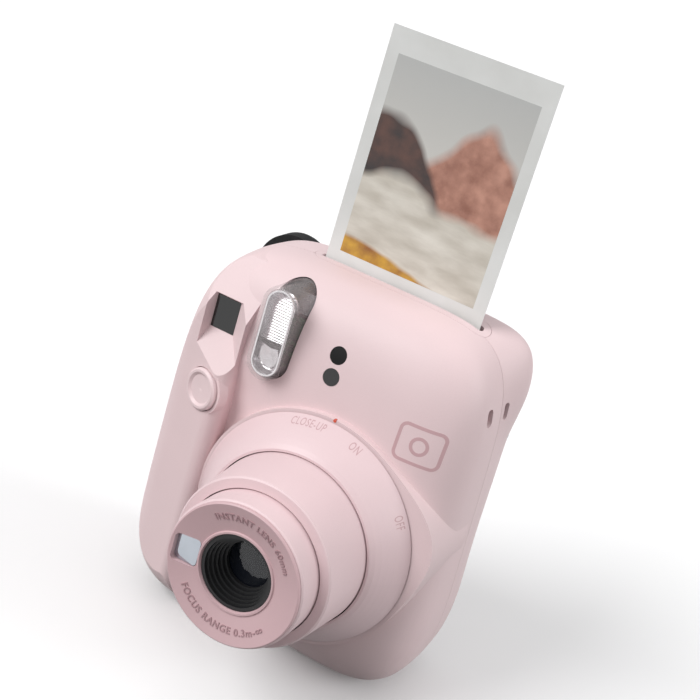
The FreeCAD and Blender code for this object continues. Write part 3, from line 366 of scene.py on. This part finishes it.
MATERIALS = {
    "pink": moulded("pink_moulded", srgb(233, 209, 211)),
    "barrel": moulded("barrel_pink", srgb(231, 206, 209), 0.45),
    "bezel": moulded("bezel_pink", srgb(211, 178, 182), 0.42),
    "button": moulded("button_pink", srgb(234, 211, 213), 0.42),
    "label": moulded("label_print", srgb(205, 168, 172), 0.5, 0.000005),
    # The raised bezel letters are the bezel pink made darker: painted shade for the shading along their
    # raised strokes.
    "letters": moulded("raised_letters_painted_shade", srgb(172, 138, 143), 0.42, 0.000005),
    "black": moulded("black_moulded", srgb(22, 22, 24), 0.55),
    "grey": moulded("grey_moulded", srgb(58, 58, 62), 0.5),
    "gloss_black": polished("gloss_black", srgb(9, 9, 10), 0.04),
    "dark": polished("dark_gloss", srgb(40, 42, 52), 0.2),
    "dot": polished("dot_red", srgb(214, 84, 56), 0.2),
    "ivory": moulded("ivory_gears", srgb(228, 224, 210), 0.35),
    "steel": metal("steel", srgb(196, 197, 200)),
    "dark_steel": metal("dark_steel", srgb(70, 70, 74), 0.35),
    "brass": metal("brass", srgb(214, 180, 110), 0.25),
    "silver": metal("flash_silver", srgb(244, 242, 244), 0.2, (1, 1, 40)),
    "mirror": metal("mirror_silver", srgb(186, 192, 200), 0.07, (0.1, 0.1, 0.1)),
    "window": clear("flash_clear", srgb(214, 204, 205), 0.2),
    # Dark, half-opaque glass: its dark colour is painted shade for the dark inside of the lens.
    "glass": clear("glass_with_painted_shade", srgb(30, 34, 44), 0.55, 0.01, 0.000004),
    "smoke": clear("smoked_window", srgb(70, 70, 74), 0.6, 0.05),
    "rubber": rubber("black_rubber", srgb(26, 26, 27)),
    "card": card("sheet_card", srgb(232, 230, 224)),
    "board": circuit("circuit_board"),
    "cells": sleeve("cell_sleeve", srgb(40, 42, 48), srgb(190, 140, 70), 0.058),
    "print": print_picture("instant_print"),
}
NODE_MATERIALS = {
    "pink": "front_shell rear_shell film_exit_lip film_door battery_cover strap_anchor door_latch",
    "barrel": "lens_ring outer_barrel inner_barrel",
    "bezel": "front_bezel",
    "button": "shutter_button",
    "black": "lens_guide lens_baffle shutter_plate finder_tunnel exposure_chamber film_pack",
    "grey": "motor_clamp battery_cradle",
    "gloss_black": "finder_window sensor_windows shutter_switch",
    "dark": "flash_capacitor",
    "dot": "index_dot",
    "ivory": "idler_gear counter_dial",
    "steel": "screws drive_motor roller_frame door_pin battery_cover_pin pressure_springs"
             " battery_contacts",
    "dark_steel": "shutter_blade",
    "brass": "motor_pinion",
    "silver": "flash_reflector",
    "mirror": "selfie_mirror",
    "window": "flash_window flash_tube",
    # The lens and eyepiece glass carries painted shade for the dark inside behind it.
    "glass": "lens_front_element lens_rear_element eyepiece_lens",
    "smoke": "pack_window counter_window",
    "rubber": "eyepiece_ring front_roller rear_roller shutter_spring",
    "card": "film_sheets",
    "board": "circuit_board",
    "cells": "batteries",
    "print": "instant_print",
}


def finish_mesh(mesh, material, sharp):
    """Gives a mesh its material, and smooth shading except across real edges."""
    mesh.materials.clear()
    mesh.materials.append(MATERIALS[material])
    mesh.shade_smooth()
    mesh.set_sharp_from_angle(angle=math.radians(sharp))


def finish_nodes():
    for material, names in NODE_MATERIALS.items():
        for name in names.split():
            finish_mesh(NODES[name].data, material, NODE_SHARP)


# ---- pieces ---------------------------------------------------------------------------------
def placed(name, data):
    """A new object in the scene."""
    made = bpy.data.objects.new(name, data)
    bpy.context.scene.collection.objects.link(made)
    return made


def piece(name, mesh, body, material, sharp=PIECE_SHARP):
    """A new visible piece riding on a body."""
    mesh.name = name
    made = placed(name, mesh)
    finish_mesh(mesh, material, sharp)
    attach(made, body)
    return made


def bridge(work, loops):
    """Faces between each closed loop of points and the next."""
    for a, b in zip(loops, loops[1:]):
        for k in range(len(a)):
            n = (k + 1) % len(a)
            work.faces.new((a[k], a[n], b[n], b[k]))


def mesh_from(work, name):
    """Ends a bmesh as a mesh whose faces look outwards."""
    bmesh.ops.recalc_face_normals(work, faces=work.faces)
    mesh = bpy.data.meshes.new(name)
    work.to_mesh(mesh)
    work.free()
    return mesh


def weld(mesh):
    """Joins a mesh's points that lie together."""
    work = bmesh.new()
    work.from_mesh(mesh)
    bmesh.ops.remove_doubles(work, verts=work.verts, dist=1e-6)
    bmesh.ops.recalc_face_normals(work, faces=work.faces)
    work.to_mesh(mesh)
    work.free()


def text_mesh(text, size, thick, **settings):
    """Centred lettering in the XY plane, that thick on each side of it."""
    curve = bpy.data.curves.new("lettering", "FONT")
    curve.body = text
    curve.size = size
    curve.align_x = "CENTER"
    curve.align_y = "CENTER"
    curve.extrude = thick
    for key, value in settings.items():
        setattr(curve, key, value)
    holder = placed("lettering", curve)
    mesh = bpy.data.meshes.new_from_object(holder)
    bpy.data.objects.remove(holder)
    weld(mesh)
    return mesh


def front_of(node):
    """A call that gives the y of a node's front at any x and z."""
    mesh = NODES[node].data
    tree = BVHTree.FromPolygons([v.co for v in mesh.vertices], [p.vertices for p in mesh.polygons])
    backwards = Vector((0, 1, 0))
    return lambda x, z: tree.ray_cast(Vector((x, RAY_START_Y, z)), backwards)[0].y


def raised(text, size, path, node, rise, thicken=0.0):
    """Lettering laid on the front of a node, each point raised from the surface behind it.

    path turns a place along and above the line, in metres, into x and z.
    """
    mesh = text_mesh(text, size, 1, offset=thicken, space_character=WORDS_SPACING, resolution_u=3,
                     fill_mode="BOTH")
    front = front_of(node)
    for v in mesh.vertices:
        x, z = path(v.co.x, v.co.y)
        height = rise if v.co.z > 0 else -SUNK
        v.co = Vector((x, front(x, z) - height, z))
    return mesh


def arc(radius, degrees, outwards=True):
    """A round line of lettering about the lens axis, its letters standing outwards or inwards."""
    way = 1 if outwards else -1

    def path(along, above):
        angle = math.radians(degrees) - way * along / radius
        r = radius + way * above
        return LENS.x + r * math.cos(angle), LENS.z + r * math.sin(angle)
    return path


def lettering():
    """Raised words round the bezel, and printed words round the lens ring.

    Each line of words has its middle that many degrees round the lens axis from the right.
    """
    bezel_words = (("INSTANT LENS 60mm", 77, True), ("FOCUS RANGE 0.3m-∞", -92, False))
    for k, (text, degrees, outwards) in enumerate(bezel_words):
        mesh = raised(text, BEZEL_WORDS_SIZE, arc(BEZEL_WORDS_R, degrees, outwards), "front_bezel",
                      BEZEL_WORDS_RISE, BEZEL_WORDS_THICKEN)
        # The darker letter colour is painted shade along the raised strokes.
        piece(f"bezel_words_{k}", mesh, "inner_barrel_body", "letters", LETTER_SHARP)
    for k, (text, degrees) in enumerate((("CLOSE-UP", 101), ("ON", 74), ("OFF", 32))):
        mesh = raised(text, RING_WORDS_SIZE, arc(RING_WORDS_R, degrees), "lens_ring", RING_WORDS_RISE)
        piece(f"ring_words_{k}", mesh, "lens_ring_body", "label")


def rounded_outline(half_w, half_h, r, steps=12):
    """A rectangle's outline in millimetres, with points along its round corners and its sides."""
    points = []
    for corner, (side_x, side_z) in enumerate(((1, 1), (-1, 1), (-1, -1), (1, -1))):
        for k in range(steps + 1):
            angle = math.radians(90 * corner + 90 * k / steps)
            points.append((side_x * (half_w - r) + r * math.cos(angle),
                           side_z * (half_h - r) + r * math.sin(angle)))
        u, w = points[-1]
        along_top = corner % 2 == 0
        length = 2 * ((half_w if along_top else half_h) - r)
        for k in range(1, steps):
            run = length * k / steps
            points.append((u - side_x * run, w) if along_top else (u, w - side_z * run))
    return points


def generic_mark():
    """A plain rounded frame with a round lens in it, printed in a deeper pink on the front."""
    work = bmesh.new()
    front = front_of("front_shell")

    def ring(outline, height):
        points = []
        for u, w in outline:
            x, z = LENS.x + MARK_RIGHT + u * MM, LENS.z + MARK_ABOVE + w * MM
            points.append(work.verts.new((x, front(x, z) - height, z)))
        return points

    def band(inside, outside):
        inner, outer = ring(inside, MARK_RISE), ring(outside, MARK_RISE)
        inner_low, outer_low = ring(inside, -SUNK), ring(outside, -SUNK)
        bridge(work, (inner, outer, outer_low, inner_low, inner))

    for inside, outside in (MARK_FRAME, MARK_LENS):
        band(rounded_outline(*inside), rounded_outline(*outside))
    piece("front_mark", mesh_from(work, "mark"), "body", "label")


# ---- flash ----------------------------------------------------------------------------------
def stadium_ring(half_w, half_h, y, count=16):
    """Points round an upright shape with round ends, about the flash's middle."""
    points = []
    for side, start in ((1, 0), (-1, 180)):
        for k in range(count + 1):
            angle = math.radians(180 * k / count + start)
            points.append(Vector((FLASH.x + half_w * math.cos(angle), y,
                                  FLASH.z + side * (half_h - half_w) + half_w * math.sin(angle))))
    return points


def lofted(rings):
    """A mesh through closed rings of points, with flat ends."""
    work = bmesh.new()
    loops = [[work.verts.new(p) for p in ring] for ring in rings]
    bridge(work, loops)
    work.faces.new(loops[-1])
    work.faces.new(loops[0])
    return mesh_from(work, "loft")


def closed_loft(rings):
    """A mesh through rings of points that comes back to the first ring."""
    work = bmesh.new()
    loops = [[work.verts.new(p) for p in ring] for ring in rings]
    bridge(work, loops + [loops[0]])
    return mesh_from(work, "loft")


def flash():
    """A silver bowl with a ribbed screen and a bright rim, and facets and a dark shade before it."""
    inside = []
    outside = []
    for depth, share in BOWL_NARROWING:
        half_w = BOWL_HALF_W * share
        half_h = BOWL_HALF_H * (BOWL_LEAST_H + (1 - BOWL_LEAST_H) * share)
        y = BOWL_FRONT + depth * MM
        inside.append(stadium_ring(half_w - BOWL_INSET, half_h - BOWL_INSET, y))
        outside.append(stadium_ring(half_w, half_h, y + BOWL_WALL))
    bowl = piece("flash_bowl", closed_loft(inside + outside[::-1]), "body", "silver")
    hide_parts("flash_reflector")
    rim_y = BOWL_FRONT - RIM_AHEAD
    rim = [stadium_ring(BOWL_HALF_W - inset, BOWL_HALF_H - inset, rim_y + depth)
           for inset, depth in ((0, 0), (RIM_SIDE, 0), (RIM_SIDE, RIM_SIDE), (0, RIM_SIDE))]
    piece("flash_rim", closed_loft(rim), "body", "silver")
    shade = [[Vector((FLASH.x + u * MM, BOWL_FRONT + depth, FLASH.z + w * MM)) for u, w in SHADE_OUTLINE]
             for depth in (0.0, SHADE_DEPTH)]
    piece("flash_lamp_shade", lofted(shade), "body", "gloss_black")
    flash_ribs()
    flash_facets()


def flash_ribs():
    """A silver screen whose front is ribbed across."""
    half_w = BOWL_HALF_W - RIBS_INSET
    half_h = BOWL_HALF_H - RIBS_INSET
    front = BOWL_FRONT + RIBS_BEHIND
    work = bmesh.new()
    lines = []
    for k in range(RIB_EDGES + 1):
        z = half_h * RIBS_SHARE_H * (2 * k / RIB_EDGES - 1)
        into_end = max(0.0, abs(z) - (half_h - half_w))
        reach = math.sqrt(half_w ** 2 - into_end ** 2)
        y = front if k % 2 else front + RIB_RISE
        back = front + RIBS_THICK
        corners = ((-reach, y), (reach, y), (reach, back), (-reach, back))
        lines.append([work.verts.new((FLASH.x + x, deep, FLASH.z + z)) for x, deep in corners])
    bridge(work, lines)
    work.faces.new(lines[0])
    work.faces.new(lines[-1])
    piece("flash_ribs", mesh_from(work, "ribs"), "body", "silver", RIB_SHARP)


def flash_facets():
    """Bright facets meeting at a point, in the lower part of the flash."""
    chance = random.Random(4)
    x, z = FLASH.x + FACETS_RIGHT, FLASH.z - FACETS_BELOW
    y = BOWL_FRONT + FACETS_BEHIND
    outer = []
    for k in range(FACET_COUNT):
        angle = 2 * math.pi * k / FACET_COUNT
        outer.append(Vector((x + FACETS_HALF_W * math.cos(angle), y + chance.uniform(*FACET_UNEVEN),
                             z + FACETS_HALF_H * math.sin(angle))))
    tip = Vector((x, y + FACET_TIP, z))
    behind = Vector((0, FACET_THICK, 0))
    work = bmesh.new()
    for k in range(FACET_COUNT):
        corners = [tip, outer[k], outer[(k + 1) % FACET_COUNT]]
        near = [work.verts.new(p) for p in corners]
        far = [work.verts.new(p + behind) for p in corners]
        work.faces.new(near)
        work.faces.new(reversed(far))
        for a in range(3):
            b = (a + 1) % 3
            work.faces.new((near[a], far[a], far[b], near[b]))
    bmesh.ops.remove_doubles(work, verts=work.verts, dist=1e-7)
    piece("flash_facets", mesh_from(work, "facets"), "body", "silver", FACET_SHARP)


# ---- back -----------------------------------------------------------------------------------
def dial_numbers():
    """Sheet counts round the counter's dial, seen through its window from behind."""
    low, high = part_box("counter_dial")
    middle = (low + high) / 2
    stand = Matrix.Rotation(math.pi, 4, "Z") @ Matrix.Rotation(math.pi / 2, 4, "X")
    lift = Matrix.Translation((0, high.y - middle.y + DIAL_NUMBER_RISE, DIAL_NUMBER_R))
    for k in range(DIAL_NUMBERS):
        mesh = text_mesh(str(k), DIAL_NUMBER_SIZE, DIAL_NUMBER_THICK)
        turn = Matrix.Rotation(2 * math.pi * k / DIAL_NUMBERS, 4, "Y")
        mesh.transform(Matrix.Translation(middle) @ turn @ lift @ stand)
        piece(f"dial_number_{k}", mesh, "counter_body", "gloss_black")


# ---- stage ----------------------------------------------------------------------------------
def floor():
    mesh = bpy.data.meshes.new("floor")
    r = FLOOR_HALF
    z = CAD_BOX[0].z - FLOOR_GAP
    mesh.from_pydata([(-r, -r, z), (r, -r, z), (r, r, z), (-r, r, z)], [], [(0, 1, 2, 3)])
    made = placed("floor", mesh)
    s = Surface("floor_white", Roughness=0.9, Specular_IOR_Level=0.1)
    s.drive("Base Color", s.mix(s.remap(s.noise(3, 2), 0, 1), srgb(250, 250, 251), srgb(254, 254, 254)))
    mesh.materials.append(s.material)
    made.visible_diffuse = False


def sun(name, toward, power):
    """A soft distant lamp that shines from that direction."""
    data = bpy.data.lights.new(name, "SUN")
    data.energy = power
    data.angle = math.radians(LAMP_ANGLE)
    made = placed(name, data)
    made.rotation_mode = "QUATERNION"
    made.rotation_quaternion = (-Vector(toward)).to_track_quat("-Z", "Y")


def light():
    """A soft key from the upper left, an edge light from the right, and a sky that is dark below."""
    sun("key", (-0.5, -0.6, 0.62), KEY_POWER)
    sun("edge", (0.9, 0.2, 0.38), EDGE_POWER)
    world = bpy.data.worlds.new("studio")
    world.use_nodes = True
    nodes, links = world.node_tree.nodes, world.node_tree.links
    direction = nodes.new("ShaderNodeTexCoord").outputs["Generated"]
    split = nodes.new("ShaderNodeSeparateXYZ")
    fade = nodes.new("ShaderNodeMapRange")
    for socket, value in zip(list(fade.inputs)[1:5], SKY_FADE + SKY_STRENGTH):
        socket.default_value = value
    links.new(direction, split.inputs[0])
    links.new(split.outputs["Z"], fade.inputs["Value"])
    links.new(fade.outputs["Result"], nodes["Background"].inputs["Strength"])
    nodes["Background"].inputs["Color"].default_value = (1, 1, 1, 1)
    bpy.context.scene.world = world
    bpy.context.scene.view_settings.view_transform = "Standard"


def camera():
    data = bpy.data.cameras.new("view")
    data.lens = VIEW_LENS
    data.sensor_width = SENSOR_W
    data.clip_start = 0.01
    data.clip_end = 50
    made = placed("view", data)
    turn = Matrix((VIEW_RIGHT, VIEW_UP, VIEW_BACK)).transposed().to_4x4()
    made.matrix_world = Matrix.Translation(VIEW_AT) @ turn
    bpy.context.scene.camera = made


camera()
light()
floor()
finish_nodes()
lettering()
generic_mark()
flash()
dial_numbers()
